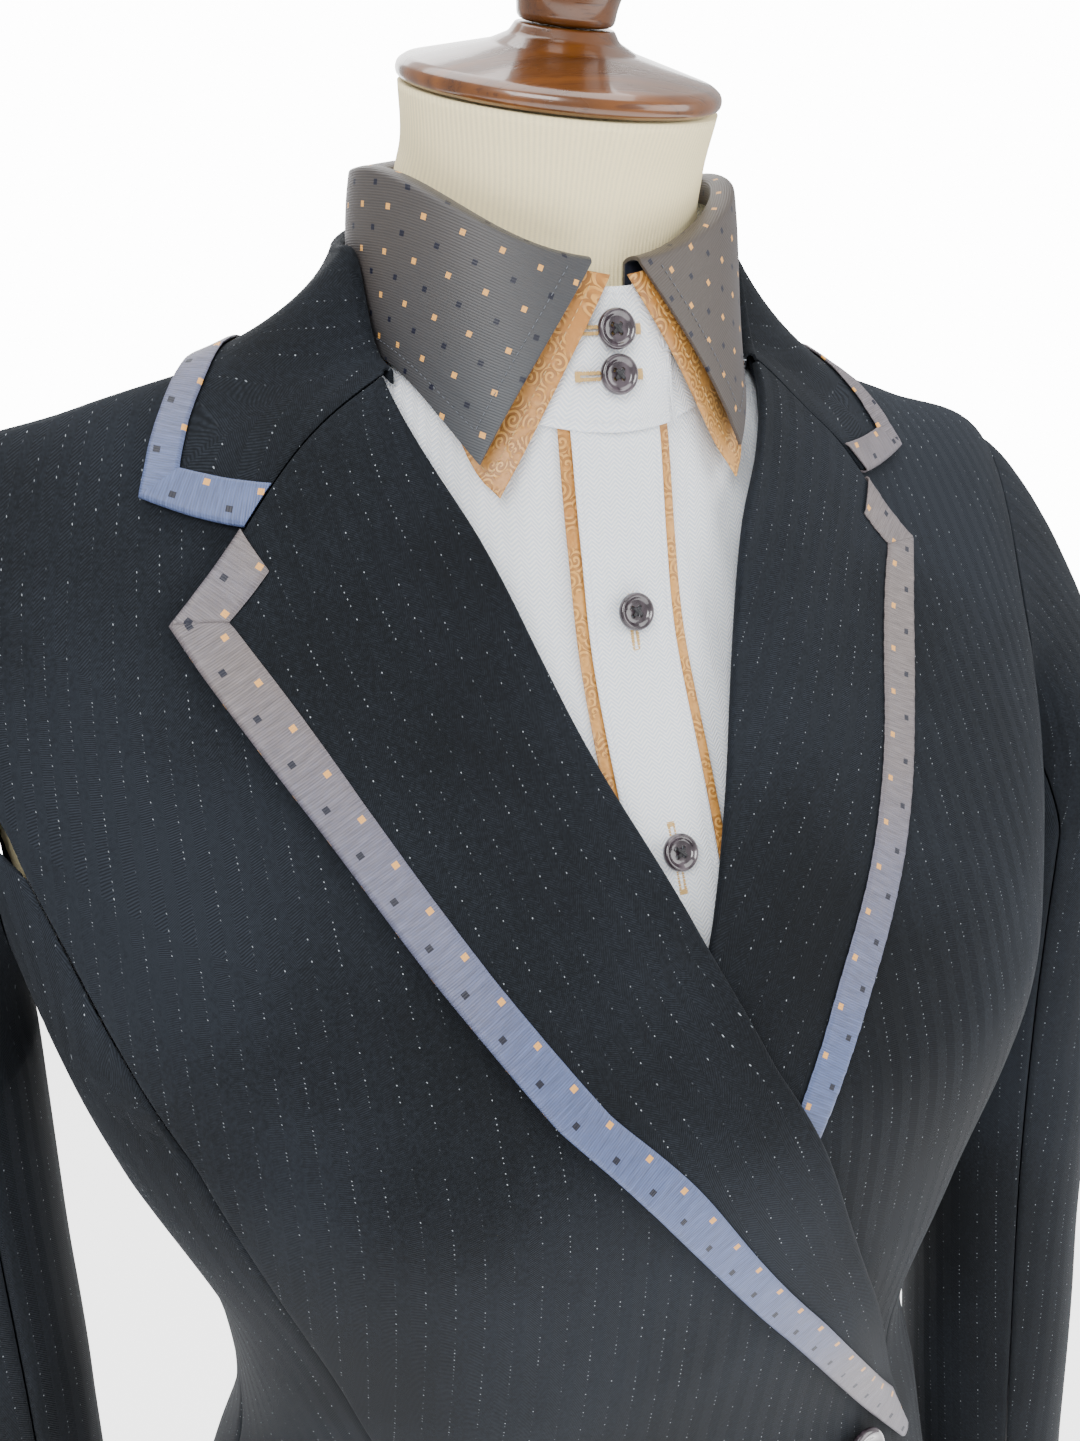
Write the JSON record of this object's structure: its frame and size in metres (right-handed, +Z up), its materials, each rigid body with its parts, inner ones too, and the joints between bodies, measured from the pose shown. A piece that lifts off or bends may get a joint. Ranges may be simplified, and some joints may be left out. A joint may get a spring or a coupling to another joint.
{
  "type": "showmanship suit jacket and shirt on a dress form",
  "caption": "Fitted wrap-front showmanship suit jacket with brocade-banded lapels over a matching high-collar shirt, standing on a limbless padded dress form with pole and round base.",
  "frame": {"origin": "centre of the stand base's underside, on the floor", "axes": "+Z up, the wearer faces -Y, +X to the wearer's left"},
  "size_m": [0.525, 0.304, 1.5777],
  "materials": {
    "wool": "near-black worsted with pin-dot stripes",
    "band_brocade": "iridescent ribbed brocade with small square dots",
    "collar_brocade": "grey ribbed brocade with small square dots",
    "copper_cloth": "copper cloth with a tooled scroll relief",
    "cotton": "white herringbone shirting",
    "button": "smoky four-hole button",
    "jersey": "unbleached jersey over padding",
    "wood": "stained and varnished",
    "pole": "satin black"
  },
  "bodies": {
    "root": {"back_left": "wool", "back_right": "wool", "collar_border": "copper_cloth", "collar_stand": "cotton", "collar_trim": "band_brocade", "finial": "wood", "form_body": "jersey", "front_left": "wool", "front_right": "wool", "jacket_button": "button", "jacket_collar": "wool", "lapel_left": "wool", "lapel_right": "wool", "lapel_trim_left": "band_brocade", "lapel_trim_right": "band_brocade", "neck_cap": "wood", "placket": "cotton", "placket_trim_left": "copper_cloth", "placket_trim_right": "copper_cloth", "shirt_back": "cotton", "shirt_button_1": "button", "shirt_button_2": "button", "shirt_button_3": "button", "shirt_button_4": "button", "shirt_collar": "collar_brocade", "shirt_front_left": "cotton", "shirt_front_right": "cotton", "side_back_left": "wool", "side_back_right": "wool", "side_front_left": "wool", "side_front_right": "wool", "stand_base": "wood", "stand_pole": "pole", "under_sleeve_left": "wool", "under_sleeve_right": "wool", "upper_sleeve_left": "wool", "upper_sleeve_right": "wool"}
  },
  "joints": []
}
